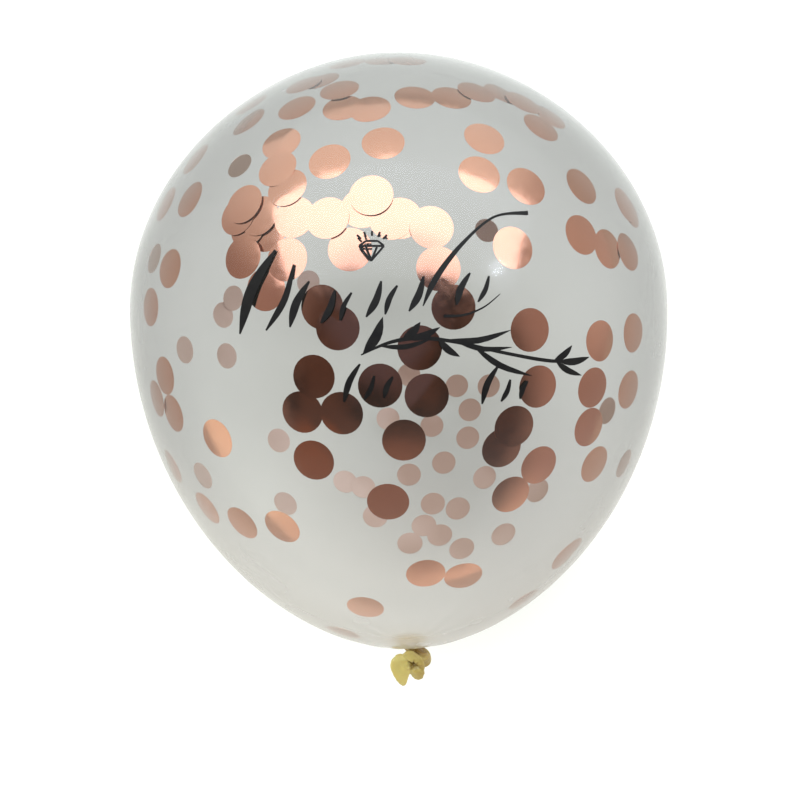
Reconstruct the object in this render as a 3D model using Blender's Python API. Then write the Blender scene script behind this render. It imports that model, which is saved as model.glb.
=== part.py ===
"""A clear latex party balloon, tied off at its neck and lying on its side, printed face up.

Metres, +Z up. The crown points to +Y and the knot to -Y. Skin, neck, knot and rolled lip are one piece
of latex, and it is sealed, so the balloon is one closed solid of its outer shape. Z = 0 is the small
flat spot that it rests on, and the origin is on that spot, under the widest ring of the skin.
"""

from math import cos, exp, floor, pi, radians, sin, sqrt

import bmesh
import bpy
from mathutils import Matrix, Quaternion, Vector

# The inflated skin.
INFLATED_DIAMETER = 0.300
CROWN_HEIGHT = 0.1455  # from the widest ring to the top of the crown
TAPER_LENGTH = 0.190  # from the widest ring to where the skin has gathered into the neck
CROWN_POWER = 1.10  # 1 is an ellipse, and more is a little more pointed
TAPER_POWER = 1.12
REST_DEPTH = 0.0025  # how far the skin is pressed flat where it rests

# The tied neck.
GATHER_DIAMETER = 0.0130  # where the skin puckers into the neck
NECK_DIAMETER = 0.0066  # where the neck goes into the knot
NECK_LENGTH = 0.0068
STEM_DIAMETER = 0.0064  # the gathered latex that runs through the knot
KNOT_OFFSET = Vector((0.0068, -0.0092, -0.0005))  # from the end of the skin to the knot's middle

# The latex wrapped round the stem, which makes the lump of the knot.
WRAP_CORD_DIAMETER = 0.0058
WRAP_RING_DIAMETER = 0.0072  # at the middle of the wrapped latex
WRAP_TURNS = 1.70
WRAP_PITCH = 0.0036
WRAP_AXIS = Vector((0.42, 0.85, 0.32)).normalized()

# The flared mouth with its rolled lip, which flops forward over the knot.
MOUTH_OFFSET = Vector((0.0008, -0.0112, 0.0080))  # from the end of the skin to the pinched hole
MOUTH_FACING = Vector((-0.10, -0.30, 0.95)).normalized()
LIP_THICKNESS = 0.0024
HOLE_DEPTH = 0.0026
HOLE_WIDTH = 0.0030
FUNNEL_DEPTH = 0.0046  # how far the flare thickens behind the hole, where it runs into the stem
PETAL_LIFT = 0.0016  # the long fold on the left stands this much proud of the ring
LOBE_DROOP = 0.0022  # and the rim elsewhere falls back by this much
VALLEY_DEPTH = 0.0012  # the crease between the ring and the long fold
VALLEY_REACH = 0.0047
VALLEY_WIDTH = 0.0026

# How far the lip reaches from the hole at each angle, in degrees from +X towards +Y: the ring above and
# at the right, the lobe at the lower right, the notch, and the long folded petal at the left.
LIP_REACH = (
    (11, 0.0067),
    (37, 0.0064),
    (62, 0.0065),
    (85, 0.0073),
    (98, 0.0079),
    (116, 0.0079),
    (134, 0.0078),
    (145, 0.0096),
    (156, 0.0107),
    (172, 0.0120),
    (188, 0.0129),
    (206, 0.0134),
    (222, 0.0144),
    (238, 0.0160),
    (249, 0.0169),
    (253, 0.0150),
    (256, 0.0074),
    (264, 0.0086),
    (274, 0.0110),
    (284, 0.0122),
    (296, 0.0120),
    (311, 0.0104),
    (324, 0.0088),
    (340, 0.0075),
)
PETAL_MIDDLE = radians(205)
PETAL_SPREAD = radians(48)

SKIN_STEPS_AROUND = 64
CROWN_STEPS = 15
TAPER_STEPS = 19
NECK_STEPS = 4
CORD_SIDES = 12
WRAP_STEPS_PER_TURN = 20
STEM_STEPS = 20
LIP_STEPS_AROUND = 72
LIP_RINGS = 7
BEAD_STEPS = 4

RADIUS = INFLATED_DIAMETER / 2
AXIS_HEIGHT = RADIUS - REST_DEPTH
SKIN_END = Vector((0, -TAPER_LENGTH, AXIS_HEIGHT))
KNOT_MIDDLE = SKIN_END + KNOT_OFFSET
MOUTH_HOLE = SKIN_END + MOUTH_OFFSET


def clear_scene():
    for obj in list(bpy.data.objects):
        bpy.data.objects.remove(obj, do_unlink=True)


def latex():
    """Clear latex, a little warm and milky."""
    material = bpy.data.materials.new("clear_latex")
    material.use_nodes = True
    shader = material.node_tree.nodes["Principled BSDF"]
    shader.inputs["Base Color"].default_value = (0.60, 0.60, 0.55, 1)
    shader.inputs["Metallic"].default_value = 0
    shader.inputs["Roughness"].default_value = 0.22
    return material


def object_from(name, mesh_data):
    mesh = bpy.data.meshes.new(name)
    bmesh.ops.recalc_face_normals(mesh_data, faces=mesh_data.faces)
    mesh_data.to_mesh(mesh)
    mesh_data.free()
    obj = bpy.data.objects.new(name, mesh)
    bpy.context.scene.collection.objects.link(obj)
    return obj


def skin_radius(height):
    """The skin's radius at a height along its axis, counted from the widest ring towards the crown."""
    if height >= 0:
        share, power = height / CROWN_HEIGHT, CROWN_POWER
    else:
        share, power = -height / TAPER_LENGTH, TAPER_POWER
    egg = RADIUS * max(0.0, 1 - share**2) ** (power / 2)
    if height >= 0:
        return egg
    # The pucker is added so that it only shows close to the end.
    return sqrt(egg**2 + (GATHER_DIAMETER / 2 * share**4) ** 2)


def neck_radius(share):
    """The neck's radius, from 0 where it leaves the skin to 1 where it goes into the knot."""
    return NECK_DIAMETER / 2 + (GATHER_DIAMETER - NECK_DIAMETER) / 2 * (1 - share) ** 2


def skin_profile():
    """(radius, height) from the crown down to the end of the neck, closer together towards each end."""
    heights = [CROWN_HEIGHT * cos(pi / 2 * step / CROWN_STEPS) for step in range(CROWN_STEPS)]
    heights += [-TAPER_LENGTH * sin(pi / 2 * step / TAPER_STEPS) for step in range(TAPER_STEPS + 1)]
    points = [(skin_radius(height), height) for height in heights]
    shares = [step / NECK_STEPS for step in range(1, NECK_STEPS + 1)]
    return points + [(neck_radius(share), -TAPER_LENGTH - NECK_LENGTH * share) for share in shares]


def turned_skin(name):
    """The skin and its neck as one turned solid, with the axis laid along Y."""
    shape = bmesh.new()
    profile = skin_profile()
    lay_down = Matrix.Translation((0, 0, AXIS_HEIGHT)) @ Matrix.Rotation(-pi / 2, 4, "X")
    rings = []
    for radius, height in profile[1:]:
        ring = []
        for step in range(SKIN_STEPS_AROUND):
            # The half step puts a flat, not a corner, at the bottom of each ring.
            angle = 2 * pi * (step + 0.5) / SKIN_STEPS_AROUND
            ring.append(shape.verts.new(lay_down @ Vector((radius * cos(angle), radius * sin(angle), height))))
        rings.append(ring)
    crown = shape.verts.new(lay_down @ Vector((0, 0, profile[0][1])))
    for step in range(SKIN_STEPS_AROUND):
        shape.faces.new((crown, rings[0][step - 1], rings[0][step]))
    for upper, lower in zip(rings, rings[1:]):
        bridge(shape, upper, lower)
    shape.faces.new(rings[-1])
    return object_from(name, shape)


def bridge(shape, upper, lower):
    """Faces between two closed rings that have as many points each."""
    for step in range(len(upper)):
        shape.faces.new((upper[step - 1], lower[step - 1], lower[step], upper[step]))


def swept_cord(name, path, radii):
    """A closed round cord along a path, each point with its own radius, with flat ends."""
    shape = bmesh.new()
    across = path[1] - path[0]
    side = across.orthogonal().normalized()
    rings = []
    for index, (point, radius) in enumerate(zip(path, radii)):
        ahead = path[min(index + 1, len(path) - 1)] - path[max(index - 1, 0)]
        ahead.normalize()
        side = (side - ahead * side.dot(ahead)).normalized()
        other = ahead.cross(side)
        ring = []
        for step in range(CORD_SIDES):
            angle = 2 * pi * step / CORD_SIDES
            ring.append(shape.verts.new(point + radius * (cos(angle) * side + sin(angle) * other)))
        rings.append(ring)
    for upper, lower in zip(rings, rings[1:]):
        bridge(shape, upper, lower)
    shape.faces.new(rings[0])
    shape.faces.new(rings[-1])
    return object_from(name, shape)


def smooth_between(values, place):
    """A smooth curve through values that are one step apart, read at place, which may be between two."""
    first = min(int(floor(place)), len(values) - 2)
    share = place - first
    before, start, end, after = (values[min(max(first + shift, 0), len(values) - 1)] for shift in (-1, 0, 1, 2))
    start_slope, end_slope = (end - before) / 2, (after - start) / 2
    return (
        start * (2 * share**3 - 3 * share**2 + 1)
        + start_slope * (share**3 - 2 * share**2 + share)
        + end * (3 * share**2 - 2 * share**3)
        + end_slope * (share**3 - share**2)
    )


def stem(name):
    """The gathered neck: out of the skin, through the middle of the knot and up into the mouth."""
    start = SKIN_END + Vector((0, NECK_LENGTH / 2, 0))
    under_mouth = MOUTH_HOLE - MOUTH_FACING * (HOLE_DEPTH + LIP_THICKNESS)
    stops = (
        start,
        start.lerp(KNOT_MIDDLE, 0.5),
        KNOT_MIDDLE,
        KNOT_MIDDLE.lerp(under_mouth, 0.55),
        under_mouth,
    )
    path = [smooth_between(stops, (len(stops) - 1) * step / STEM_STEPS) for step in range(STEM_STEPS + 1)]
    return swept_cord(name, path, [STEM_DIAMETER / 2] * len(path))


def wrap(name):
    """The latex wound round the stem: a short helix whose two ends tuck in to the stem."""
    count = round(WRAP_TURNS * WRAP_STEPS_PER_TURN)
    turn_to_axis = Vector((0, 0, 1)).rotation_difference(WRAP_AXIS)
    path, radii = [], []
    for step in range(count + 1):
        share = step / count
        angle = 2 * pi * WRAP_TURNS * (share - 0.5)
        # The ends tuck in over the first and last tenth.
        tuck = min(1.0, 10 * min(share, 1 - share))
        reach = WRAP_RING_DIAMETER / 2 * (0.45 + 0.55 * tuck)
        along = WRAP_PITCH * WRAP_TURNS * (share - 0.5)
        path.append(KNOT_MIDDLE + turn_to_axis @ Vector((reach * cos(angle), reach * sin(angle), along)))
        radii.append(WRAP_CORD_DIAMETER / 2 * (0.75 + 0.25 * tuck))
    return swept_cord(name, path, radii)


def lip_reach(angle):
    """How far the lip reaches from the hole at an angle, on a smooth closed curve through LIP_REACH."""
    degrees = angle * 180 / pi % 360
    around = [(turn - 360, reach) for turn, reach in LIP_REACH[-2:]] + list(LIP_REACH)
    around += [(turn + 360, reach) for turn, reach in LIP_REACH[:2]]
    for index in range(1, len(around) - 2):
        (turn, reach), (next_turn, next_reach) = around[index], around[index + 1]
        if turn <= degrees <= next_turn:
            share = (degrees - turn) / (next_turn - turn)
            ease = share * share * (3 - 2 * share)
            return reach + (next_reach - reach) * ease
    return LIP_REACH[0][1]


def lip_height(distance, angle):
    """The lip's front face above the hole's plane: a dimple at the hole, and a rim that rises or droops."""
    reach = lip_reach(angle)
    share = distance / reach
    off_petal = abs((angle - PETAL_MIDDLE + pi) % (2 * pi) - pi)
    on_petal = exp(-((off_petal / PETAL_SPREAD) ** 4))
    rim = PETAL_LIFT * on_petal - LOBE_DROOP * (1 - on_petal)
    valley = VALLEY_DEPTH * on_petal * exp(-(((distance - VALLEY_REACH) / (VALLEY_WIDTH / 2)) ** 2))
    return rim * share**2 - valley - HOLE_DEPTH * exp(-((distance / (HOLE_WIDTH / 2)) ** 2))


def lip_thickness(distance, angle):
    """The flare's thickness, which grows towards the hole, behind which it narrows into the stem."""
    return LIP_THICKNESS + FUNNEL_DEPTH * max(0.0, 1 - distance / lip_reach(angle)) ** 3


def mouth(name):
    """The flared end of the neck: a lobed dish with a rolled rim, pinched shut at its middle."""
    shape = bmesh.new()
    place = Matrix.Translation(MOUTH_HOLE) @ Quaternion(
        Vector((0, 0, 1)).rotation_difference(MOUTH_FACING)
    ).to_matrix().to_4x4()
    bead = LIP_THICKNESS / 2
    sections = []
    for step in range(LIP_STEPS_AROUND):
        angle = 2 * pi * step / LIP_STEPS_AROUND
        flat = lip_reach(angle) - bead
        front = [(flat * ring / LIP_RINGS, 0.0) for ring in range(1, LIP_RINGS)]
        turns = [pi / 2 - pi * turn / BEAD_STEPS for turn in range(BEAD_STEPS + 1)]
        rim = [(flat + bead * cos(turn), bead * sin(turn) - bead) for turn in turns]
        back = [(distance, -lip_thickness(distance, angle)) for distance, _ in reversed(front)]
        section = []
        for distance, drop in front + rim + back:
            height = lip_height(min(distance, flat), angle) + drop
            point = Vector((distance * cos(angle), distance * sin(angle), height))
            section.append(shape.verts.new(place @ point))
        sections.append(section)
    front_middle = shape.verts.new(place @ Vector((0, 0, lip_height(0, 0))))
    back_middle = shape.verts.new(place @ Vector((0, 0, lip_height(0, 0) - lip_thickness(0, 0))))
    for before, section in zip([sections[-1]] + sections, sections):
        shape.faces.new((front_middle, before[0], section[0]))
        shape.faces.new((back_middle, section[-1], before[-1]))
        for index in range(len(section) - 1):
            shape.faces.new((before[index], before[index + 1], section[index + 1], section[index]))
    return object_from(name, shape)


def floor_cutter(name):
    """A block whose top face is Z = 0: what it cuts away leaves the flat spot."""
    shape = bmesh.new()
    bmesh.ops.create_cube(shape, size=1)
    cutter = object_from(name, shape)
    cutter.scale = (2 * INFLATED_DIAMETER, 2 * INFLATED_DIAMETER, INFLATED_DIAMETER)
    cutter.location = (0, 0, -INFLATED_DIAMETER / 2)
    return cutter


def combine(base, helper, operation):
    """Boolean of a helper shape into the base; the helper itself is only a guide."""
    helper.hide_render = True
    helper.display_type = "WIRE"
    modifier = base.modifiers.new(f"{operation.lower()}_{helper.name}", "BOOLEAN")
    modifier.operation = operation
    modifier.object = helper
    modifier.solver = "EXACT"
    # The wrapped latex presses into its own next turn.
    modifier.use_self = operation == "UNION"


def make_balloon():
    balloon = turned_skin("balloon")
    balloon.data.materials.append(latex())
    combine(balloon, floor_cutter("flat_spot_cutter"), "DIFFERENCE")
    combine(balloon, stem("stem_guide"), "UNION")
    combine(balloon, wrap("wrap_guide"), "UNION")
    combine(balloon, mouth("mouth_guide"), "UNION")
    balloon.data.shade_smooth()


clear_scene()
make_balloon()
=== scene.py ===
"""Looks of a clear latex party balloon with foil confetti sealed in it, lying printed side up.

Metres, +Z up. The balloon's axis lies along Y, with the crown at +Y and the knot at -Y. The camera looks
straight down on it from close by, so what the photograph shows at a pixel is found by a ray from there.
"""

import random
from math import atan, atan2, cos, exp, floor, hypot, pi, radians, sin, sqrt

import bmesh
import bpy
from mathutils import Matrix, Vector


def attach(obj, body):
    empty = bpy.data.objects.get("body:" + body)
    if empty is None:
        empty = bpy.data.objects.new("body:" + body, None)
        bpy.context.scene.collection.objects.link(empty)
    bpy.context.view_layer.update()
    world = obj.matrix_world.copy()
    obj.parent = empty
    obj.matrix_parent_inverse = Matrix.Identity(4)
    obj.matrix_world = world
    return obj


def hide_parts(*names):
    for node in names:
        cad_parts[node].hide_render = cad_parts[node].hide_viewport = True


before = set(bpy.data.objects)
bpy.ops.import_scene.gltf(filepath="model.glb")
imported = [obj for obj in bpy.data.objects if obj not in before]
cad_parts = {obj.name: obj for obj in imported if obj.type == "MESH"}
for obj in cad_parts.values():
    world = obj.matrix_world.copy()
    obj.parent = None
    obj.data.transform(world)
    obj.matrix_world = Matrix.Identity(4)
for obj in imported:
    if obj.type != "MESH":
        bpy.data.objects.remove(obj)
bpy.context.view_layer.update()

# The latex, in the sizes of its solid. The lip has more points than there, and the mouth more creases.
INFLATED_DIAMETER = 0.300
CROWN_HEIGHT = 0.1455
TAPER_LENGTH = 0.190
CROWN_POWER = 1.10
TAPER_POWER = 1.12
REST_DEPTH = 0.0025
GATHER_DIAMETER = 0.0130
NECK_DIAMETER = 0.0066
NECK_LENGTH = 0.0068
STEM_DIAMETER = 0.0064
KNOT_OFFSET = Vector((0.0068, -0.0092, -0.0005))
WRAP_CORD_DIAMETER = 0.0058
WRAP_RING_DIAMETER = 0.0072
WRAP_TURNS = 1.70
WRAP_PITCH = 0.0036
WRAP_AXIS = Vector((0.42, 0.85, 0.32)).normalized()
MOUTH_OFFSET = Vector((0.0008, -0.0112, 0.0080))
MOUTH_FACING = Vector((-0.10, -0.30, 0.95)).normalized()
LIP_THICKNESS = 0.0024
HOLE_DEPTH = 0.0034
HOLE_LENGTH = 0.0066
HOLE_WIDTH = 0.0030
HOLE_TURN = radians(-38)
HOLE_SHIFT = (0.0010, -0.0012)  # from the middle that LIP_REACH is counted from
CREASE_DEPTH = 0.0007
CREASE_REACH = 0.0036
CREASE_START = 0.001
FUNNEL_DEPTH = 0.0046
PETAL_LIFT = 0.0016
LOBE_DROOP = 0.0022
VALLEY_DEPTH = 0.0007
VALLEY_REACH = 0.0047
VALLEY_WIDTH = 0.0026
LIP_REACH = (
    (11, 0.0067),
    (37, 0.0064),
    (62, 0.0065),
    (85, 0.0073),
    (98, 0.0077),
    (114, 0.0076),
    (130, 0.0071),
    (138, 0.0072),
    (144, 0.0088),
    (154, 0.0103),
    (172, 0.0120),
    (188, 0.0125),
    (204, 0.0126),
    (220, 0.0133),
    (233, 0.0145),
    (243, 0.0159),
    (250, 0.0168),
    (254, 0.0163),
    (256.5, 0.0148),
    (258.5, 0.0077),
    (264, 0.0082),
    (272, 0.0106),
    (279, 0.0122),
    (287, 0.0130),
    (297, 0.0129),
    (309, 0.0112),
    (324, 0.0090),
    (340, 0.0080),
)
PETAL_MIDDLE = radians(205)
PETAL_SPREAD = radians(48)

RADIUS = INFLATED_DIAMETER / 2
AXIS_HEIGHT = RADIUS - REST_DEPTH
SKIN_END = Vector((0, -TAPER_LENGTH, AXIS_HEIGHT))
KNOT_MIDDLE = SKIN_END + KNOT_OFFSET
MOUTH_HOLE = SKIN_END + MOUTH_OFFSET

# The picture and the camera that looks down.
PICTURE_SIZE = 800
FOCAL_PIXELS = 761
CAMERA_ABOVE_AXIS = 3 * RADIUS
CAMERA_PLACE = Vector((-0.0008, -0.0473, AXIS_HEIGHT + CAMERA_ABOVE_AXIS))
CAMERA_ROLL = radians(-1.84)

# The confetti.
DISC_DIAMETER = 0.0180
FOIL_THICKNESS = 0.00008
DISC_GAP = 0.0005  # from the skin to the first layer of foil
LAYER_GAP = 0.0004
OVERLAP_REACH = 1.02 * DISC_DIAMETER
LARGEST_TILT = 0.0005  # how far one edge stands off the skin
LARGEST_CURL = 0.0004
CREASED_SHARE = 0.14
DISC_RINGS = 4
DISC_STEPS = 28

# Pixels in the photograph, read at the middle of each disc that lies against the near skin.
CROWN_DISCS = (
    (347, 62), (383, 58), (408, 59), (303, 83), (320, 78), (339, 88), (296, 106), (342, 105), (370, 107),
    (415, 95), (452, 95), (477, 90), (503, 91), (524, 101), (551, 114), (542, 126), (485, 137), (383, 141),
)
UPPER_LEFT_DISCS = (
    (250, 103), (247, 120), (280, 141), (276, 167), (286, 186), (329, 160), (194, 158), (188, 198),
    (164, 203), (243, 203), (236, 214), (257, 214), (245, 225), (264, 229), (241, 257), (168, 268),
)
BRIGHT_DISCS = (
    (293, 216), (327, 217), (371, 194), (362, 206), (391, 217), (400, 216), (349, 248), (286, 259),
    (264, 289), (432, 226), (439, 268), (514, 247), (454, 307),
)
UPPER_RIGHT_DISCS = (
    (480, 173), (527, 185), (583, 185), (627, 204), (632, 209), (583, 234), (610, 248), (630, 251),
)
LEFT_DISCS = (
    (149, 307), (163, 376), (155, 399), (171, 414), (171, 467), (216, 439), (206, 509), (241, 524),
    (281, 528),
)
CENTRE_DISCS = (
    (321, 307), (337, 328), (420, 348), (313, 377), (301, 413), (341, 414), (380, 386), (427, 396),
    (404, 441), (313, 461), (388, 503), (515, 427), (503, 449), (540, 466), (539, 387), (531, 330),
)
RIGHT_DISCS = ((602, 341), (635, 333), (594, 388), (630, 390), (591, 428), (596, 465), (512, 496))
LOW_DISCS = ((426, 575), (464, 578), (365, 609), (343, 634), (566, 557), (571, 553), (525, 601))
NEAR_DISCS = (
    CROWN_DISCS + UPPER_LEFT_DISCS + BRIGHT_DISCS + UPPER_RIGHT_DISCS + LEFT_DISCS + CENTRE_DISCS
    + RIGHT_DISCS + LOW_DISCS
)
# The same of each disc that shows soft and small, because it lies against the far skin.
FAR_DISCS = (
    (239, 165), (222, 315), (232, 298), (308, 282), (153, 258), (487, 230), (184, 350), (226, 356),
    (278, 441), (202, 476), (285, 504), (345, 482), (363, 488), (375, 517), (388, 419), (468, 438),
    (470, 410), (457, 386), (489, 386), (409, 375), (432, 426), (444, 463), (409, 475), (485, 478),
    (433, 504), (458, 509), (424, 526), (440, 536), (410, 544), (462, 549), (504, 535), (538, 491),
    (608, 411), (625, 464),
)
BALLOON_MIDDLE = (398, 330)  # the pixel in the middle of the balloon
HIDDEN_WITHIN = 190  # pixels from there
HIDDEN_DISC_COUNT = 26  # on the far skin, right behind discs on the near skin

rng = random.Random(7)


# The shape of the skin.

def skin_radius(height):
    """The skin's radius at a height along its axis, counted from the widest ring towards the crown."""
    if height >= 0:
        share, power = height / CROWN_HEIGHT, CROWN_POWER
    else:
        share, power = -height / TAPER_LENGTH, TAPER_POWER
    egg = RADIUS * max(0.0, 1 - share**2) ** (power / 2)
    if height >= 0:
        return egg
    return sqrt(egg**2 + (GATHER_DIAMETER / 2 * share**4) ** 2)


def neck_radius(share):
    """The neck's radius, from 0 where it leaves the skin to 1 where it goes into the knot."""
    return NECK_DIAMETER / 2 + (GATHER_DIAMETER - NECK_DIAMETER) / 2 * (1 - share) ** 2


def skin_normal(point):
    """The outward direction of the skin nearest a point."""
    step = 1e-4
    height = max(-TAPER_LENGTH + 2 * step, min(CROWN_HEIGHT - 2 * step, point.y))
    slope = (skin_radius(height + step) - skin_radius(height - step)) / (2 * step)
    across = Vector((point.x, 0, point.z - AXIS_HEIGHT))
    if across.length < 1e-6:
        return Vector((0, 1 if point.y > 0 else -1, 0))
    return (across.normalized() + Vector((0, -slope, 0))).normalized()


def depth_inside(point):
    """How far inside the skin a point is, negative outside."""
    height = max(-TAPER_LENGTH, min(CROWN_HEIGHT, point.y))
    reach = hypot(point.x, point.z - AXIS_HEIGHT)
    normal = skin_normal(point)
    sideways = sqrt(max(1e-9, 1 - normal.y**2))
    return (skin_radius(height) - reach) * sideways if abs(point.y - height) < 1e-9 else -1.0


def settle(point, depth):
    """The point moved along the skin's normal until it is this far inside the skin."""
    for _ in range(3):
        point = point + skin_normal(point) * (depth_inside(point) - depth)
    return point


def pixel_ray(x, y):
    """The direction from the camera through a pixel of the photograph."""
    half = PICTURE_SIZE / 2
    turn = Matrix.Rotation(CAMERA_ROLL, 3, "Z")
    return (turn @ Vector((x - half, half - y, -FOCAL_PIXELS))).normalized()


def skin_hits(x, y):
    """Where a pixel's ray goes into the skin and comes out, or twice where it passes closest."""
    ray = pixel_ray(x, y)
    steps = 260
    start, span = CAMERA_ABOVE_AXIS - 1.25 * RADIUS, 3.2 * RADIUS
    reaches = [start + span * step / steps for step in range(steps + 1)]
    points = [CAMERA_PLACE + ray * reach for reach in reaches]
    depths = [depth_inside(point) for point in points]
    crossings = [index for index in range(steps) if (depths[index] < 0) != (depths[index + 1] < 0)]
    if len(crossings) < 2:
        closest = points[depths.index(max(depths))]
        return closest, closest
    found = []
    for index in (crossings[0], crossings[-1]):
        low, high = reaches[index], reaches[index + 1]
        entering = depths[index] < 0
        for _ in range(12):
            middle = (low + high) / 2
            if (depth_inside(CAMERA_PLACE + ray * middle) < 0) == entering:
                low = middle
            else:
                high = middle
        found.append(CAMERA_PLACE + ray * low)
    return tuple(found)


# Making meshes.

SHARP_ANGLE = radians(55)


def object_from(name, shape, materials):
    mesh = bpy.data.meshes.new(name)
    shape.to_mesh(mesh)
    shape.free()
    obj = bpy.data.objects.new(name, mesh)
    bpy.context.scene.collection.objects.link(obj)
    for material in materials:
        mesh.materials.append(material)
    mesh.shade_smooth()
    mesh.set_sharp_from_angle(angle=SHARP_ANGLE)
    return obj


def bridge(shape, upper, lower):
    """Faces between two closed rings that have as many points each."""
    for step in range(len(upper)):
        shape.faces.new((upper[step - 1], lower[step - 1], lower[step], upper[step]))


def finish_piece(piece, slot, *nodes):
    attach(piece, "root")
    if nodes:
        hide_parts(*nodes)


def smooth_between(values, place):
    """A smooth curve through values that are one step apart, read at place, which may be between two."""
    first = min(int(floor(place)), len(values) - 2)
    share = place - first
    near = [min(max(first + shift, 0), len(values) - 1) for shift in (-1, 0, 1, 2)]
    before, start, end, after = (values[index] for index in near)
    start_slope, end_slope = (end - before) / 2, (after - start) / 2
    return (
        start * (2 * share**3 - 3 * share**2 + 1)
        + start_slope * (share**3 - 2 * share**2 + share)
        + end * (3 * share**2 - 2 * share**3)
        + end_slope * (share**3 - share**2)
    )


# Materials.

FLOOR_GLOW = 0.90
FLOOR_GLOW_COLOUR = (1.0, 1.025, 0.945, 1)


def add(nodes, kind, **settings):
    node = nodes.new(kind)
    for name, value in settings.items():
        setattr(node, name, value)
    return node


def cloud_group():
    """Soft mottling: how thick or how worn a finish is from place to place."""
    group = bpy.data.node_groups.new("mottling", "ShaderNodeTree")
    face = group.interface
    face.new_socket("Scale", in_out="INPUT", socket_type="NodeSocketFloat").default_value = 20
    face.new_socket("Detail", in_out="INPUT", socket_type="NodeSocketFloat").default_value = 3
    face.new_socket("Low", in_out="INPUT", socket_type="NodeSocketFloat").default_value = 0
    face.new_socket("High", in_out="INPUT", socket_type="NodeSocketFloat").default_value = 1
    face.new_socket("Value", in_out="OUTPUT", socket_type="NodeSocketFloat")
    nodes, links = group.nodes, group.links
    given, out = nodes.new("NodeGroupInput"), nodes.new("NodeGroupOutput")
    place = nodes.new("ShaderNodeTexCoord")
    cloud = nodes.new("ShaderNodeTexNoise")
    spread = add(nodes, "ShaderNodeMapRange", clamp=True)
    spread.inputs["From Min"].default_value = 0.3
    spread.inputs["From Max"].default_value = 0.7
    links.new(place.outputs["Object"], cloud.inputs["Vector"])
    links.new(given.outputs["Scale"], cloud.inputs["Scale"])
    links.new(given.outputs["Detail"], cloud.inputs["Detail"])
    links.new(cloud.outputs["Fac"], spread.inputs["Value"])
    links.new(given.outputs["Low"], spread.inputs["To Min"])
    links.new(given.outputs["High"], spread.inputs["To Max"])
    links.new(spread.outputs["Result"], out.inputs["Value"])
    return group


MOTTLING = cloud_group()


def mottled(material, scale, low, high, detail=3):
    node = material.node_tree.nodes.new("ShaderNodeGroup")
    node.node_tree = MOTTLING
    node.inputs["Scale"].default_value = scale
    node.inputs["Detail"].default_value = detail
    node.inputs["Low"].default_value = low
    node.inputs["High"].default_value = high
    return node.outputs["Value"]


def new_material(name):
    material = bpy.data.materials.new(name)
    material.use_nodes = True
    return material, material.node_tree.nodes["Principled BSDF"]


def blended(material, share, first, second):
    """A colour between two, by a share that changes over the surface."""
    mix = add(material.node_tree.nodes, "ShaderNodeMix", data_type="RGBA")
    material.node_tree.links.new(share, mix.inputs["Factor"])
    mix.inputs["A"].default_value = (*first, 1)
    mix.inputs["B"].default_value = (*second, 1)
    return mix.outputs["Result"]


def mixed(material, share, first, second):
    """A colour between one that changes over the surface and a fixed one."""
    mix = add(material.node_tree.nodes, "ShaderNodeMix", data_type="RGBA")
    material.node_tree.links.new(share, mix.inputs["Factor"])
    material.node_tree.links.new(first, mix.inputs["A"])
    mix.inputs["B"].default_value = (*second, 1)
    return mix.outputs["Result"]


def math_node(material, operation, first, second, third=None):
    node = add(material.node_tree.nodes, "ShaderNodeMath", operation=operation)
    for socket, value in zip(node.inputs, (first, second, third)):
        if value is None:
            continue
        if isinstance(value, (int, float)):
            socket.default_value = value
        else:
            material.node_tree.links.new(value, socket)
    return node.outputs["Value"]


def bumped(material, shader, height, strength, distance):
    bump = material.node_tree.nodes.new("ShaderNodeBump")
    bump.inputs["Strength"].default_value = strength
    bump.inputs["Distance"].default_value = distance
    material.node_tree.links.new(height, bump.inputs["Height"])
    material.node_tree.links.new(bump.outputs["Normal"], shader.inputs["Normal"])


def ramped(material, value, start, end):
    """0 to 1 between two values."""
    ramp = add(material.node_tree.nodes, "ShaderNodeMapRange", interpolation_type="SMOOTHSTEP")
    ramp.inputs["From Min"].default_value = start
    ramp.inputs["From Max"].default_value = end
    material.node_tree.links.new(value, ramp.inputs["Value"])
    return ramp.outputs["Result"]


def along(material, axis, start, end):
    """0 to 1 between two places along an axis."""
    nodes, links = material.node_tree.nodes, material.node_tree.links
    place, split = nodes.new("ShaderNodeTexCoord"), nodes.new("ShaderNodeSeparateXYZ")
    links.new(place.outputs["Object"], split.inputs["Vector"])
    return ramped(material, split.outputs[axis], start, end)


def distance_from(material, middle):
    nodes, links = material.node_tree.nodes, material.node_tree.links
    place = nodes.new("ShaderNodeTexCoord")
    distance = add(nodes, "ShaderNodeVectorMath", operation="DISTANCE")
    distance.inputs[1].default_value = middle
    links.new(place.outputs["Object"], distance.inputs[0])
    return distance.outputs["Value"]


FILM_TINT = (0.014, 0.015, 0.011)  # what little the stretched latex throws back of the light on it
FILM_MILK_CROWN_SHADED = (0.27, 0.275, 0.255)  # how it looks aslant, where there is more latex in the way; darker at the crown, as painted shade
FILM_MILK = (0.41, 0.41, 0.38)
FILM_LOW = (0.48, 0.460, 0.405)  # towards the neck, where it is stretched less
GATHERED_COLOUR = (0.42, 0.30, 0.10)
FILM_COVER = 0.305
FILM_UNEVEN = 0.012
FILM_LOW_SHARE = 0.85
GATHERED_POWER = 1.9
CROWN_SHADE_COVER = 0.058  # how much more the film covers towards the crown, as painted shade against the brighter light there
FILM_SLANT_POWER = 3.0


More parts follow.
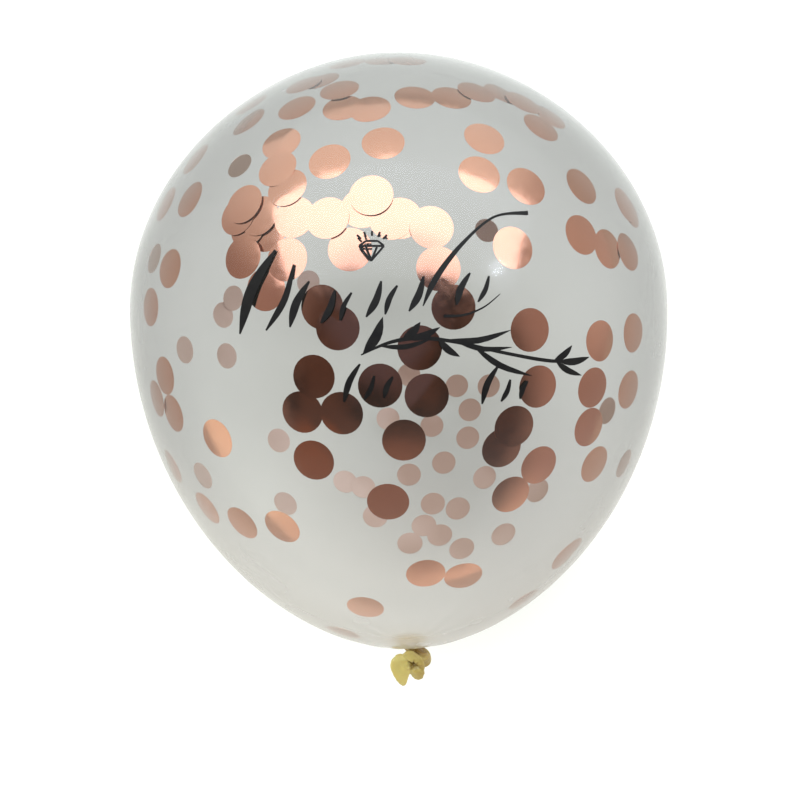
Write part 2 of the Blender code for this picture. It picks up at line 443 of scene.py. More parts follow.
def clear_latex():
    """Stretched latex: nearly clear seen straight on, milky seen aslant, and yellow where it gathers."""
    material, shader = new_material("clear_latex")
    nodes, links = material.node_tree.nodes, material.node_tree.links
    slant = nodes.new("ShaderNodeLayerWeight")
    slant.inputs["Blend"].default_value = 0.5
    milky = math_node(material, "POWER", slant.outputs["Facing"], FILM_SLANT_POWER)
    low = along(material, "Y", -0.03, -0.180)
    gathered = ramped(material, distance_from(material, SKIN_END), 0.030, 0.003)
    gathered = math_node(material, "POWER", gathered, GATHERED_POWER)
    # Darker milky tone towards the crown: painted shade.
    tone = blended(material, along(material, "Y", 0.12, -0.07), FILM_MILK_CROWN_SHADED, FILM_MILK)
    tone = mixed(material, math_node(material, "SUBTRACT", 1, milky), tone, FILM_TINT)
    tone = mixed(material, math_node(material, "MULTIPLY", low, FILM_LOW_SHARE), tone, FILM_LOW)
    links.new(mixed(material, gathered, tone, GATHERED_COLOUR), shader.inputs["Base Color"])
    clear = mottled(material, 14, 1 - FILM_COVER - FILM_UNEVEN, 1 - FILM_COVER + FILM_UNEVEN)
    # More cover towards the crown: painted shade that evens out the brighter light there.
    clear = math_node(material, "MULTIPLY_ADD", along(material, "Y", -0.04, 0.12), -CROWN_SHADE_COVER, clear)
    clear = math_node(material, "MULTIPLY", clear, math_node(material, "SUBTRACT", 1, milky))
    cover = math_node(material, "SUBTRACT", 1, clear)
    links.new(math_node(material, "MAXIMUM", cover, gathered), shader.inputs["Alpha"])
    links.new(mottled(material, 30, 0.20, 0.30), shader.inputs["Roughness"])
    bumped(material, shader, mottled(material, 60, 0, 1, 2), 0.03, 0.0005)
    shader.inputs["Specular IOR Level"].default_value = 0.21
    shader.inputs["Coat Weight"].default_value = 0.20
    shader.inputs["Coat Roughness"].default_value = 0.05
    return material


PETAL_COLOUR = (0.585, 0.510, 0.158)
KNUCKLE_SHADED_COLOUR = (0.345, 0.255, 0.064)
CREASE_SHADE_COLOUR = (0.20, 0.11, 0.02)
HOLE_SHADE_COLOUR = (0.20, 0.13, 0.012)
UNDER_KNOT_SHADE_COLOUR = (0.22, 0.13, 0.025)  # painted shade where the knot lies against the skin


def gathered_latex():
    """Thick yellow satin latex of neck and knot: browner, with painted shade, where wound, creased or
    pinched.
    """
    material, shader = new_material("gathered_latex")
    nodes, links = material.node_tree.nodes, material.node_tree.links
    uneven = mottled(material, 220, -0.12, 0.12)
    # Browner towards +X, where the knot is wound: partly its thicker latex, partly painted shade.
    thick = math_node(material, "ADD", along(material, "X", -0.004, 0.012), uneven)
    tone = blended(material, thick, PETAL_COLOUR, KNUCKLE_SHADED_COLOUR)
    point = nodes.new("ShaderNodeNewGeometry")
    # Painted shade in the creases, found by how hollow the surface is.
    tone = mixed(material, ramped(material, point.outputs["Pointiness"], 0.50, 0.36), tone, CREASE_SHADE_COLOUR)
    # Painted shade down in the pinched hole, with a ragged edge.
    turn = Vector((0, 0, 1)).rotation_difference(MOUTH_FACING)
    hole_middle = MOUTH_HOLE + turn @ Vector((*HOLE_SHIFT, -0.5 * HOLE_DEPTH))
    ragged = mottled(material, 500, -0.0010, 0.0010)
    away = math_node(material, "ADD", distance_from(material, hole_middle), ragged)
    tone = mixed(material, ramped(material, away, 0.0046, 0.0010), tone, HOLE_SHADE_COLOUR)
    # Painted shade where the knot lies against the skin.
    under_knot_shade = distance_from(material, SKIN_END + Vector((0.006, -0.002, 0.002)))
    tone = mixed(material, ramped(material, under_knot_shade, 0.0085, 0.0045), tone, UNDER_KNOT_SHADE_COLOUR)
    links.new(tone, shader.inputs["Base Color"])
    links.new(mottled(material, 400, 0.34, 0.52), shader.inputs["Roughness"])
    bumped(material, shader, mottled(material, 900, 0, 1), 0.15, 0.0002)
    shader.inputs["Subsurface Weight"].default_value = 0.25
    shader.inputs["Subsurface Radius"].default_value = (0.003, 0.002, 0.0008)
    shader.inputs["Subsurface Scale"].default_value = 1
    return material


def foil_front():
    """The metallised face of the confetti: a rose-gold mirror with fine creases."""
    material, shader = new_material("rose_gold_foil")
    links = material.node_tree.links
    shader.inputs["Metallic"].default_value = 1
    tone = blended(material, mottled(material, 45, 0, 1), (0.63, 0.320, 0.215), (0.68, 0.355, 0.245))
    links.new(tone, shader.inputs["Base Color"])
    links.new(mottled(material, 300, 0.07, 0.18), shader.inputs["Roughness"])
    bumped(material, shader, mottled(material, 90, 0, 1, 0), 0.10, 0.0004)
    return material


def foil_back():
    """The unpolished face of the confetti."""
    material, shader = new_material("foil_back")
    links = material.node_tree.links
    shader.inputs["Specular IOR Level"].default_value = 0.1
    patchy = mottled(material, 30, -0.22, 0.22, 0)
    # Darker towards +X: painted shade on the far discs, over random patches.
    patchy_and_shaded = math_node(material, "ADD", along(material, "X", -0.12, 0.05), patchy)
    tone = blended(material, patchy_and_shaded, (0.62, 0.475, 0.40), (0.36, 0.238, 0.180))
    links.new(tone, shader.inputs["Base Color"])
    links.new(mottled(material, 300, 0.50, 0.62), shader.inputs["Roughness"])
    return material


def black_ink():
    """Printed ink, a little uneven where it took."""
    material, shader = new_material("black_ink")
    links = material.node_tree.links
    tone = blended(material, mottled(material, 250, 0, 1), (0.003, 0.003, 0.003), (0.007, 0.007, 0.006))
    links.new(tone, shader.inputs["Base Color"])
    links.new(mottled(material, 500, 0.52, 0.66), shader.inputs["Roughness"])
    shader.inputs["Specular IOR Level"].default_value = 0.12
    return material


# Patches of the table: the middle of each, how far it reaches and what share of the glow it takes. The first
# two
# are painted shadow, where the balloon keeps light off the table. The others, outside the picture, glow
# more:
# painted light.
TABLE_PATCHES = (
    ((0.040, -0.130, 0), (0.165, 0.160, 1), 0.43),
    ((-0.020, 0.022, 0), (0.150, 0.045, 1), 0.14),
    ((-0.30, -0.72, 0), (0.70, 0.58, 1), -0.95),
    ((-0.36, -0.28, 0), (0.19, 0.22, 1), -0.45),
    ((0.10, 1.10, 0), (1.30, 0.75, 1), -0.32),
)


def unshaded(material, middle, reach, share):
    """1 outside a patch, and less by this share in its middle."""
    nodes, links = material.node_tree.nodes, material.node_tree.links
    place = nodes.new("ShaderNodeTexCoord")
    offset = add(nodes, "ShaderNodeVectorMath", operation="SUBTRACT")
    offset.inputs[1].default_value = middle
    scaled = add(nodes, "ShaderNodeVectorMath", operation="DIVIDE")
    scaled.inputs[1].default_value = reach
    length = add(nodes, "ShaderNodeVectorMath", operation="LENGTH")
    links.new(place.outputs["Object"], offset.inputs[0])
    links.new(offset.outputs["Vector"], scaled.inputs[0])
    links.new(scaled.outputs["Vector"], length.inputs[0])
    return math_node(material, "MULTIPLY_ADD", ramped(material, length.outputs["Value"], 1, 0), -share, 1)


def pale_floor():
    """A white light table, with painted shadow and painted light in patches."""
    material, shader = new_material("pale_floor")
    links = material.node_tree.links
    glow = FLOOR_GLOW
    for patch in TABLE_PATCHES:
        glow = math_node(material, "MULTIPLY", unshaded(material, *patch), glow)
    links.new(glow, shader.inputs["Emission Strength"])
    tone = blended(material, mottled(material, 3, 0, 1), (0.15, 0.15, 0.15), (0.17, 0.17, 0.17))
    links.new(tone, shader.inputs["Base Color"])
    shader.inputs["Emission Color"].default_value = FLOOR_GLOW_COLOUR
    shader.inputs["Roughness"].default_value = 0.7
    return material


# The skin.

SKIN_STEPS_AROUND = 160
CROWN_STEPS = 40
TAPER_STEPS = 56
NECK_STEPS = 10
PUCKER_COUNT = 17
PUCKER_DEPTH = 0.035  # as a share of the neck's radius
PUCKER_FADE = 0.00467  # how soon the puckers fade, from the neck up the skin
PUCKER_REACH = 0.035  # how far they run at all
FLAT_EDGE = 0.0004  # how softly the skin turns into the flat spot
NECK_LEAN = 0.0022  # how far the neck leans aside towards the knot


def rested(point):
    """The skin's point, pressed flat where it would go through the floor."""
    if point.z < 8 * FLAT_EDGE:
        pressed = FLAT_EDGE * (point.z / FLAT_EDGE if point.z > 0 else 0)
        point.z = sqrt(pressed**2 + FLAT_EDGE**2) - FLAT_EDGE if point.z > 0 else 0.0
    return point


def pucker(height, angle):
    """How much the skin is drawn into folds, close to the neck."""
    near = exp(-max(0.0, height + TAPER_LENGTH) / PUCKER_FADE)
    if height > -TAPER_LENGTH + PUCKER_REACH:
        return 1.0
    waves = sin(PUCKER_COUNT * angle + 0.7 * sin(3 * angle)) + 0.5 * sin(7 * angle + 1.3)
    return 1 + PUCKER_DEPTH * near * waves


def make_skin(material):
    shape = bmesh.new()
    heights = [CROWN_HEIGHT * cos(pi / 2 * step / CROWN_STEPS) for step in range(1, CROWN_STEPS)]
    heights += [-TAPER_LENGTH * sin(pi / 2 * step / TAPER_STEPS) for step in range(TAPER_STEPS + 1)]
    profile = [(skin_radius(height), height) for height in heights]
    shares = [step / NECK_STEPS for step in range(1, NECK_STEPS + 1)]
    profile += [(neck_radius(share), -TAPER_LENGTH - NECK_LENGTH * share) for share in shares]
    rings = []
    for radius, height in profile:
        ring = []
        lean = NECK_LEAN * max(0.0, (-TAPER_LENGTH - height) / NECK_LENGTH) ** 2
        for step in range(SKIN_STEPS_AROUND):
            angle = 2 * pi * step / SKIN_STEPS_AROUND
            reach = radius * pucker(height, angle)
            place = Vector((reach * cos(angle) + lean, height, AXIS_HEIGHT - reach * sin(angle)))
            ring.append(shape.verts.new(rested(place)))
        rings.append(ring)
    crown = shape.verts.new((0, CROWN_HEIGHT, AXIS_HEIGHT))
    end = shape.verts.new((NECK_LEAN, -TAPER_LENGTH - NECK_LENGTH, AXIS_HEIGHT))
    for step in range(SKIN_STEPS_AROUND):
        shape.faces.new((crown, rings[0][step - 1], rings[0][step]))
        shape.faces.new((end, rings[-1][step], rings[-1][step - 1]))
    for upper, lower in zip(rings, rings[1:]):
        bridge(shape, upper, lower)
    bmesh.ops.recalc_face_normals(shape, faces=shape.faces)
    skin = object_from("balloon_skin", shape, [material])
    finish_piece(skin, "clear_latex", "balloon")
    return skin


# The knot.

CORD_SIDES = 28
STEM_STEPS = 60
WRAP_STEPS_PER_TURN = 60
LIP_STEPS_AROUND = 180
LIP_RINGS = 26
BEAD_STEPS = 8
KNOT_VOXEL = 0.00030


def swept_cord(shape, path, radii, folds=0, fold_depth=0.0, twist=0.0):
    """A closed cord along a path, with folds that wind along it like twisted latex."""
    side = (path[1] - path[0]).orthogonal().normalized()
    rings = []
    for index, (point, radius) in enumerate(zip(path, radii)):
        ahead = (path[min(index + 1, len(path) - 1)] - path[max(index - 1, 0)]).normalized()
        side = (side - ahead * side.dot(ahead)).normalized()
        other = ahead.cross(side)
        ring = []
        for step in range(CORD_SIDES):
            angle = 2 * pi * step / CORD_SIDES
            reach = radius * (1 + fold_depth * sin(folds * angle + twist * index / len(path)))
            ring.append(shape.verts.new(point + reach * (cos(angle) * side + sin(angle) * other)))
        rings.append(ring)
    for upper, lower in zip(rings, rings[1:]):
        bridge(shape, upper, lower)
    shape.faces.new(rings[0])
    shape.faces.new(rings[-1])


def add_stem(shape):
    """The gathered neck: out of the skin, through the middle of the knot and up into the mouth."""
    start = SKIN_END + Vector((NECK_LEAN / 2, -NECK_LENGTH * 0.35, 0))
    under_mouth = MOUTH_HOLE - MOUTH_FACING * (HOLE_DEPTH + LIP_THICKNESS)
    stops = (
        start,
        start.lerp(KNOT_MIDDLE, 0.5),
        KNOT_MIDDLE,
        KNOT_MIDDLE.lerp(under_mouth, 0.55),
        under_mouth,
    )
    path = [smooth_between(stops, (len(stops) - 1) * step / STEM_STEPS) for step in range(STEM_STEPS + 1)]
    radii = [STEM_DIAMETER / 2 * (0.75 + 0.25 * min(1, step / 12)) for step in range(STEM_STEPS + 1)]
    swept_cord(shape, path, radii, folds=6, fold_depth=0.07, twist=5)


def add_wrap(shape):
    """The latex wound round the stem: a short helix whose two ends tuck in to the stem."""
    count = round(WRAP_TURNS * WRAP_STEPS_PER_TURN)
    turn_to_axis = Vector((0, 0, 1)).rotation_difference(WRAP_AXIS)
    path, radii = [], []
    for step in range(count + 1):
        share = step / count
        angle = 2 * pi * WRAP_TURNS * (share - 0.5)
        tuck = min(1.0, 10 * min(share, 1 - share))
        reach = WRAP_RING_DIAMETER / 2 * (0.45 + 0.55 * tuck)
        along = WRAP_PITCH * WRAP_TURNS * (share - 0.5)
        path.append(KNOT_MIDDLE + turn_to_axis @ Vector((reach * cos(angle), reach * sin(angle), along)))
        radii.append(WRAP_CORD_DIAMETER / 2 * (0.75 + 0.25 * tuck))
    swept_cord(shape, path, radii, folds=4, fold_depth=0.16, twist=9)


def lip_reach(angle):
    """How far the lip reaches from the hole at an angle, on a smooth closed curve through LIP_REACH."""
    degrees = angle * 180 / pi % 360
    around = [(turn - 360, reach) for turn, reach in LIP_REACH[-2:]] + list(LIP_REACH)
    around += [(turn + 360, reach) for turn, reach in LIP_REACH[:2]]
    for index in range(1, len(around) - 2):
        (turn, reach), (next_turn, next_reach) = around[index], around[index + 1]
        if turn <= degrees <= next_turn:
            share = (degrees - turn) / (next_turn - turn)
            ease = share * share * (3 - 2 * share)
            return reach + (next_reach - reach) * ease
    return LIP_REACH[0][1]


def lip_height(distance, angle):
    """The lip's front face above the hole's plane: a pinched hole, and a rim that rises or droops."""
    share = distance / lip_reach(angle)
    off_petal = abs((angle - PETAL_MIDDLE + pi) % (2 * pi) - pi)
    on_petal = exp(-((off_petal / PETAL_SPREAD) ** 4))
    rim = PETAL_LIFT * on_petal - LOBE_DROOP * (1 - on_petal)
    valley = VALLEY_DEPTH * on_petal * exp(-(((distance - VALLEY_REACH) / (VALLEY_WIDTH / 2)) ** 2))
    across = distance * cos(angle) - HOLE_SHIFT[0]
    up = distance * sin(angle) - HOLE_SHIFT[1]
    along_slit = across * cos(HOLE_TURN) + up * sin(HOLE_TURN)
    beside_slit = up * cos(HOLE_TURN) - across * sin(HOLE_TURN)
    hole = HOLE_DEPTH * exp(-((2 * along_slit / HOLE_LENGTH) ** 2) - (2 * beside_slit / HOLE_WIDTH) ** 2)
    # The pinched hole draws creases round itself, which run out over the ring.
    way, away = atan2(up, across), hypot(across, up)
    creases = CREASE_DEPTH * exp(-((away / CREASE_REACH) ** 2)) * (sin(7 * way + 0.8) + 0.6 * sin(4 * way))
    return rim * share**2 - valley - hole + creases * min(1, away / CREASE_START)


def lip_thickness(distance, angle):
    """The flare's thickness, which grows towards the hole, behind which it narrows into the stem."""
    return LIP_THICKNESS + FUNNEL_DEPTH * max(0.0, 1 - distance / lip_reach(angle)) ** 3


def add_mouth(shape):
    """The flared end of the neck: a lobed dish with a rolled rim, pinched shut at its middle."""
    turn = Vector((0, 0, 1)).rotation_difference(MOUTH_FACING).to_matrix().to_4x4()
    place = Matrix.Translation(MOUTH_HOLE) @ turn
    bead = LIP_THICKNESS / 2
    sections = []
    for step in range(LIP_STEPS_AROUND):
        angle = 2 * pi * step / LIP_STEPS_AROUND
        flat = lip_reach(angle) - bead
        front = [(flat * ring / LIP_RINGS, 0.0) for ring in range(1, LIP_RINGS)]
        turns = [pi / 2 - pi * bend / BEAD_STEPS for bend in range(BEAD_STEPS + 1)]
        rim = [(flat + bead * cos(bend), bead * sin(bend) - bead) for bend in turns]
        back = [(distance, -lip_thickness(distance, angle)) for distance, _ in reversed(front)]
        section = []
        for distance, drop in front + rim + back:
            height = lip_height(min(distance, flat), angle) + drop
            point = Vector((distance * cos(angle), distance * sin(angle), height))
            section.append(shape.verts.new(place @ point))
        sections.append(section)
    front_middle = shape.verts.new(place @ Vector((0, 0, lip_height(0, 0))))
    back_middle = shape.verts.new(place @ Vector((0, 0, lip_height(0, 0) - lip_thickness(0, 0))))
    for before, section in zip([sections[-1]] + sections, sections):
        shape.faces.new((front_middle, before[0], section[0]))
        shape.faces.new((back_middle, section[-1], before[-1]))
        for index in range(len(section) - 1):
            shape.faces.new((before[index], before[index + 1], section[index + 1], section[index]))


def make_knot(material):
    shape = bmesh.new()
    add_stem(shape)
    add_wrap(shape)
    add_mouth(shape)
    bmesh.ops.recalc_face_normals(shape, faces=shape.faces)
    knot = object_from("balloon_knot", shape, [material])
    remesh = knot.modifiers.new("one_skin", "REMESH")
    remesh.mode = "VOXEL"
    remesh.voxel_size = KNOT_VOXEL
    soften = knot.modifiers.new("soften", "SMOOTH")
    soften.factor = 0.5
    soften.iterations = 3
    knot.modifiers.new("facets", "TRIANGULATE")
    graph = bpy.context.evaluated_depsgraph_get()
    made = bpy.data.meshes.new_from_object(knot.evaluated_get(graph))
    knot.modifiers.clear()
    knot.data = made
    made.shade_smooth()
    finish_piece(knot, "gathered_latex", "balloon")
    return knot


# The confetti.

def disc_layers(middles):
    """How many earlier discs each disc lies on, so that overlapping discs don't cut through each other."""
    layers = []
    for index, middle in enumerate(middles):
        under = [
            layers[other]
            for other in range(index)
            if (middles[other] - middle).length < OVERLAP_REACH
        ]
        layer = 0
        while layer in under:
            layer += 1
        layers.append(layer)
    return layers


def add_disc(shape, middle, layer):
    """One disc of foil that clings to the skin, with a slight curl and sometimes a crease."""
    normal = skin_normal(middle)
    side = normal.orthogonal().normalized()
    spin = rng.uniform(0, 2 * pi)
    side = (Matrix.Rotation(spin, 3, normal) @ side).normalized()
    other = normal.cross(side)
    gap = DISC_GAP + LAYER_GAP * layer
    tilt = rng.uniform(0.0, LARGEST_TILT)
    curl = rng.choice((0.0, 0.0, rng.uniform(0.0, LARGEST_CURL)))
    crease = rng.random() < CREASED_SHARE
    crease_lift = rng.uniform(0.04, 0.12)
    crease_place = rng.uniform(-0.35, 0.45)
    radius = DISC_DIAMETER / 2
    faces = {}
    for face, thickness in (("outer", 0.0), ("inner", FOIL_THICKNESS)):
        rings = []
        for ring in range(DISC_RINGS + 1):
            reach = radius * ring / DISC_RINGS
            points = []
            for step in range(DISC_STEPS if ring else 1):
                angle = 2 * pi * step / DISC_STEPS
                across, up = reach * cos(angle), reach * sin(angle)
                depth = gap + tilt * (1 + up / radius) / 2 + curl * (across / radius) ** 2
                if crease:
                    depth += crease_lift * max(0.0, up - crease_place * radius)
                point = settle(middle + side * across + other * up, depth + thickness)
                point.z = max(point.z, depth + thickness)
                points.append(shape.verts.new(point))
            rings.append(points)
        faces[face] = rings
    for face, rings in faces.items():
        index = 0 if face == "outer" else 1
        made = []
        for step in range(DISC_STEPS):
            made.append((rings[0][0], rings[1][step - 1], rings[1][step]))
            for upper, lower in zip(rings[1:], rings[2:]):
                made.append((upper[step - 1], lower[step - 1], lower[step], upper[step]))
        for corners in made:
            ordered = corners if face == "outer" else corners[::-1]
            shape.faces.new(ordered).material_index = index
    outer_rim, inner_rim = faces["outer"][-1], faces["inner"][-1]
    for step in range(DISC_STEPS):
        shape.faces.new((outer_rim[step - 1], inner_rim[step - 1], inner_rim[step], outer_rim[step]))


def make_confetti(name, middles, materials):
    shape = bmesh.new()
    for middle, layer in zip(middles, disc_layers(middles)):
        add_disc(shape, middle, layer)
    piece = object_from(name, shape, materials)
    finish_piece(piece, "rose_gold_foil")
    return piece


def hidden_middles():
    """Places on the far skin that discs on the near skin hide from the photograph."""
    middle = Vector(BALLOON_MIDDLE)
    pixels = [pixel for pixel in NEAR_DISCS if (Vector(pixel) - middle).length < HIDDEN_WITHIN]
    return [settle(skin_hits(x, y)[1], DISC_GAP) for x, y in rng.sample(pixels, HIDDEN_DISC_COUNT)]


def make_all_confetti():
    materials = [foil_front(), foil_back()]
    near = [settle(skin_hits(x, y)[0], DISC_GAP) for x, y in NEAR_DISCS]
    far = [settle(skin_hits(x, y)[1], DISC_GAP) for x, y in FAR_DISCS]
    make_confetti("confetti_upper", near, materials)
    make_confetti("confetti_lower", far + hidden_middles(), materials)


# The print.

INK_LIFT = 0.00005
INK_THICKNESS = 0.00006


def on_skin(x, y):
    """The place on the near skin that a pixel shows, just clear of the latex."""
    return settle(skin_hits(x, y)[0], -INK_LIFT)


def add_stroke(shape, line, widths, steps=14):
    """A brush stroke along a line of pixels, as wide as widths say, which ends in fine points."""
    places = [Vector(point) for point in line]
    rows = []
    for step in range(steps + 1):
        share = step / steps
        here = smooth_between(places, share * (len(places) - 1))
        ahead = smooth_between(places, min(share + 0.02, 1) * (len(places) - 1))
        behind = smooth_between(places, max(share - 0.02, 0) * (len(places) - 1))
        way = (ahead - behind).normalized()
        across = Vector((-way.y, way.x))
        wide = max(0.35, smooth_between(widths, share * (len(widths) - 1)))
        rows.append([shape.verts.new(on_skin(*(here + across * wide * part / 2))) for part in (-1, 0, 1)])
    for first, second in zip(rows, rows[1:]):
        for index in range(2):
            shape.faces.new((first[index], first[index + 1], second[index + 1], second[index]))


# The row of slanted strokes along a baseline that rises: how far along each one stands, how high it is and
# how wide the brush was pressed, in pixels.
ROW_START, ROW_END = (240, 334), (478, 302)
ROW_STROKES = (
    (0.00, 84, 13),
    (0.11, 66, 8),
    (0.21, 46, 10),
    (0.34, 33, 8),
    (0.42, 28, 6),
    (0.53, 36, 9),
    (0.61, 29, 7),
    (0.71, 35, 9),
    (0.91, 32, 8),
    (1.00, 26, 6),
)
SWASH_LINE = ((423, 306), (436, 278), (462, 244), (494, 217), (528, 213))
TAIL_LINE = ((444, 316), (464, 315), (484, 307), (500, 294))
LOW_ROWS = (
    ((344, 402), (384, 398), ((0.0, 38, 8), (0.5, 24, 6), (1.0, 21, 7))),
    ((482, 404), (520, 399), ((0.0, 38, 8), (0.5, 22, 6), (1.0, 18, 6))),
)
SLANT = 0.42


def add_stroke_row(shape, start, end, strokes):
    start, end = Vector(start), Vector(end)
    for index, (place, tall, wide) in enumerate(strokes):
        foot = start.lerp(end, place)
        head = foot + Vector((SLANT * tall, -tall))
        bend = 0.07 * tall * (1 if index % 2 else -1)
        middle = foot.lerp(head, 0.5) + Vector((bend, bend * SLANT))
        add_stroke(shape, (foot, middle, head), (1.6, wide * 0.8, wide * 0.7, 2.0))


def add_leaf(shape, foot, way, long, wide):
    """A leaf with pointed ends that bends a little."""
    way = Vector(way).normalized()
    tip = foot + way * long
    middle = foot.lerp(tip, 0.5) + Vector((-way.y, way.x)) * long * 0.08
    add_stroke(shape, (foot, middle, tip), (0.6, wide, wide * 0.9, 0.5), steps=8)


SPRIG_LINE = ((361, 355), (388, 343), (418, 338), (456, 342), (505, 353), (552, 361), (583, 359))
# Leaves of the sprig: how far along its stem each one starts, how far it turns off the stem in radians, how
# long it is and how wide.
SPRIG_LEAVES = (
    (0.02, 0.62, 42, 10),
    (0.12, -0.24, 52, 5),
    (0.25, 0.62, 25, 8),
    (0.27, 0.22, 36, 7),
    (0.43, -0.55, 27, 7),
    (0.45, 0.30, 68, 6),
    (0.50, 0.10, 56, 5),
    (0.56, -0.24, 66, 6),
    (0.84, 0.72, 24, 6),
    (0.85, -0.52, 29, 6),
    (0.86, 0.10, 31, 7),
)


def add_sprig(shape):
    """A stem with slim leaves that fork off it on either side."""
    places = [Vector(point) for point in SPRIG_LINE]
    add_stroke(shape, places, (1.4, 3.4, 4.2, 3.6, 3.4, 3.6, 1.4), steps=36)
    for share, turn, long, wide in SPRIG_LEAVES:
        here = smooth_between(places, share * (len(places) - 1))
        ahead = smooth_between(places, min(share + 0.03, 1) * (len(places) - 1))
        leaf_way = Matrix.Rotation(-turn, 2) @ (ahead - here).normalized()
        add_leaf(shape, here, leaf_way, long, wide)


# A small cut gem with rays over it, as lines of pixels.
GEM_LINES = (
    ((359, 246), (366, 241), (378, 241), (384, 246), (371, 261), (359, 246)),
    ((359, 246), (384, 246)),
    ((366, 247), (371, 259)),
    ((377, 247), (372, 259)),
    ((357, 235), (361, 239)),
    ((364, 232), (366, 237)),
    ((372, 231), (372, 236)),
    ((380, 232), (378, 237)),
    ((387, 235), (383, 239)),
)
GEM_LINE_WIDTH = 2.2


def add_gem(shape):
    for line in GEM_LINES:
        for start, end in zip(line, line[1:]):
            add_stroke(shape, (start, end), (GEM_LINE_WIDTH, GEM_LINE_WIDTH), steps=4)


def make_print(material):
    shape = bmesh.new()
    add_stroke_row(shape, ROW_START, ROW_END, ROW_STROKES)
    add_stroke(shape, SWASH_LINE, (1.2, 6, 5, 3, 2.5, 4.5), steps=40)
    add_stroke(shape, TAIL_LINE, (3.0, 2.4, 1.6, 0.8), steps=16)
    add_sprig(shape)
    add_gem(shape)
    for start, end, strokes in LOW_ROWS:
        add_stroke_row(shape, start, end, strokes)
    bmesh.ops.recalc_face_normals(shape, faces=shape.faces)
    ink = object_from("print_ink", shape, [material])
    thick = ink.modifiers.new("ink_thickness", "SOLIDIFY")
    thick.thickness = INK_THICKNESS
    thick.offset = 1
    graph = bpy.context.evaluated_depsgraph_get()
    made = bpy.data.meshes.new_from_object(ink.evaluated_get(graph))
    ink.modifiers.clear()
    ink.data = made
    made.set_sharp_from_angle(angle=SHARP_ANGLE)
    finish_piece(ink, "black_ink")
    return ink


# The studio.

WORLD_SIDE = (0.86, 0.72, 0.69)
WORLD_DARK = (0.05, 0.03, 0.025)
WORLD_BLOTCH = (0.20, 0.12, 0.09)
# What the room shows over these: a colour, the direction it is in, and the cosines of the angle from there
# between which it comes in. The pale walls are beyond the crown, beyond the knot, to the left and to the
# right. The dim ceiling has a lighter, a warmer, a deeper and a bluer place.
PALE_WALLS = (
    ((2.45, 2.65, 2.65), (0.0, 0.97, 0.25), 0.28, 0.97),
    ((1.80, 1.66, 1.45), (0.0, -0.995, -0.05), 0.58, 0.90),
    ((2.45, 2.50, 2.20), (-0.85, -0.52, -0.08), 0.88, 0.98),
    ((1.32, 1.22, 1.16), (0.93, 0.36, 0.06), 0.80, 0.97),
)
CEILING_PLACES = (
    ((0.48, 0.28, 0.19), (-0.04, -0.86, 0.51), 0.88, 0.985),
    ((0.45, 0.205, 0.09), (-0.5519, -0.6423, 0.5319), 0.980, 0.996),
    ((0.09, 0.04, 0.03), (0.5505, -0.6606, 0.5105), 0.965, 0.988),
    ((0.24, 0.21, 0.27), (-0.10, 0.0, 0.995), 0.90, 0.97),
)
CEILING_WAY = (0.0, -0.53, 0.85)
CEILING_START, CEILING_FULL = 0.50, 0.77
SOFTBOX_WAY = Vector((0.033, 0.548, 0.836)).normalized()
SOFTBOX_SIZE = (2.34, 1.08)
SOFTBOX_REACH = 1.2
SOFTBOX_RADIANCE = 3.7
LAMP_COLOUR = (0.93, 1.0, 1.14)
SPOT_WAY = Vector((0.575, 0.207, 0.797)).normalized()
SPOT_SIZE = (0.10, 0.10)
SPOT_RADIANCE = 62.0
FLOOR_SIZE = 6.0


def make_floor():
    shape = bmesh.new()
    bmesh.ops.create_grid(shape, x_segments=8, y_segments=8, size=FLOOR_SIZE / 2)
    floor_piece = object_from("floor", shape, [pale_floor()])
    floor_piece.location.z = -0.0002


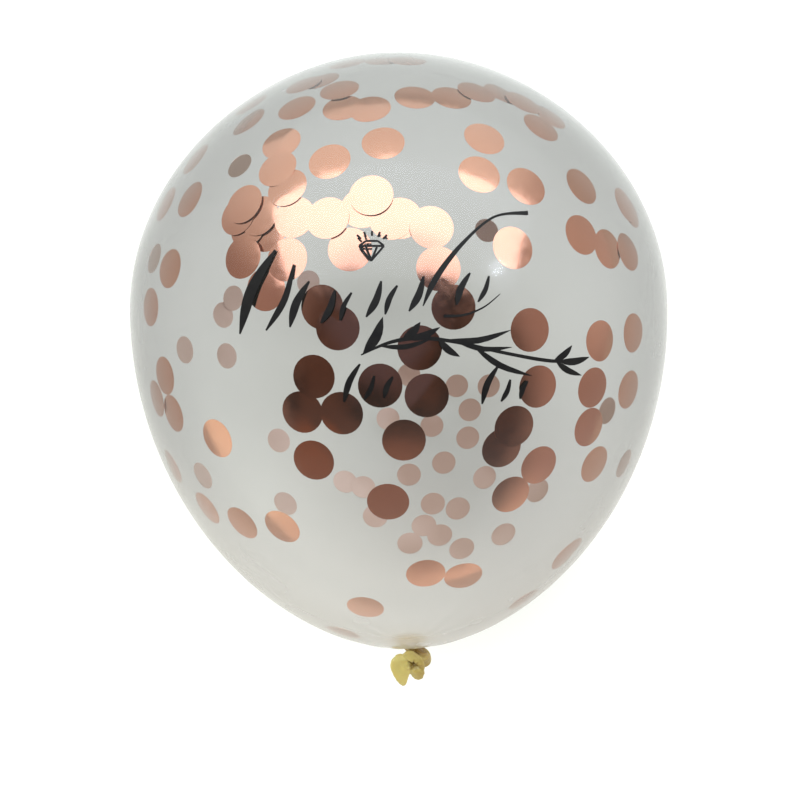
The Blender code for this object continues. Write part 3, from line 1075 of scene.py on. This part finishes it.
def make_world():
    """A pale room with an unevenly dim ceiling."""
    world = bpy.data.worlds.new("studio")
    world.use_nodes = True
    nodes, links = world.node_tree.nodes, world.node_tree.links
    place = nodes.new("ShaderNodeTexCoord")

    def toward(way, none, full):
        """0 to 1 between two cosines of the angle from a direction."""
        dot = add(nodes, "ShaderNodeVectorMath", operation="DOT_PRODUCT")
        dot.inputs[1].default_value = way
        ramp = add(nodes, "ShaderNodeMapRange", interpolation_type="SMOOTHSTEP")
        ramp.inputs["From Min"].default_value = none
        ramp.inputs["From Max"].default_value = full
        links.new(place.outputs["Generated"], dot.inputs[0])
        links.new(dot.outputs["Value"], ramp.inputs["Value"])
        return ramp.outputs["Result"]

    def toned(first, second, share):
        mix = add(nodes, "ShaderNodeMix", data_type="RGBA")
        for socket, value in ((mix.inputs["A"], first), (mix.inputs["B"], second)):
            if isinstance(value, tuple):
                socket.default_value = (*value, 1)
            else:
                links.new(value, socket)
        links.new(share, mix.inputs["Factor"])
        return mix.outputs["Result"]

    cloud = nodes.new("ShaderNodeTexNoise")
    cloud.inputs["Scale"].default_value = 3.2
    cloud.inputs["Detail"].default_value = 1
    links.new(place.outputs["Generated"], cloud.inputs["Vector"])
    spread = add(nodes, "ShaderNodeMapRange", interpolation_type="SMOOTHSTEP")
    spread.inputs["From Min"].default_value = 0.40
    spread.inputs["From Max"].default_value = 0.66
    links.new(cloud.outputs["Fac"], spread.inputs["Value"])
    dim = toned(WORLD_DARK, WORLD_BLOTCH, spread.outputs["Result"])
    for colour, way, none, full in CEILING_PLACES:
        dim = toned(dim, colour, toward(way, none, full))
    pale = WORLD_SIDE
    for colour, way, none, full in PALE_WALLS:
        pale = toned(pale, colour, toward(way, none, full))
    room = toned(pale, dim, toward(CEILING_WAY, CEILING_START, CEILING_FULL))
    links.new(room, nodes["Background"].inputs["Color"])
    bpy.context.scene.world = world


def make_light(name, way, reach, size, radiance):
    """A rectangular soft light that faces the balloon."""
    lamp = bpy.data.lights.new(name, "AREA")
    lamp.shape = "RECTANGLE"
    lamp.size, lamp.size_y = size
    lamp.energy = radiance * pi * size[0] * size[1]
    lamp.color = LAMP_COLOUR
    light = bpy.data.objects.new(name, lamp)
    light.location = Vector((0, 0, AXIS_HEIGHT)) + way * reach
    light.rotation_euler = way.to_track_quat("Z", "Y").to_euler()
    bpy.context.scene.collection.objects.link(light)


def make_camera():
    data = bpy.data.cameras.new("camera")
    data.angle = 2 * atan(PICTURE_SIZE / 2 / FOCAL_PIXELS)
    data.clip_start = 0.01
    camera = bpy.data.objects.new("camera", data)
    camera.location = CAMERA_PLACE
    camera.rotation_euler = (0, 0, CAMERA_ROLL)
    bpy.context.scene.collection.objects.link(camera)
    bpy.context.scene.camera = camera


make_camera()
make_world()
make_floor()
make_light("softbox", SOFTBOX_WAY, SOFTBOX_REACH, SOFTBOX_SIZE, SOFTBOX_RADIANCE)
make_light("spot", SPOT_WAY, SOFTBOX_REACH, SPOT_SIZE, SPOT_RADIANCE)
bpy.context.scene.view_settings.view_transform = "Standard"
make_skin(clear_latex())
make_knot(gathered_latex())
make_all_confetti()
make_print(black_ink())
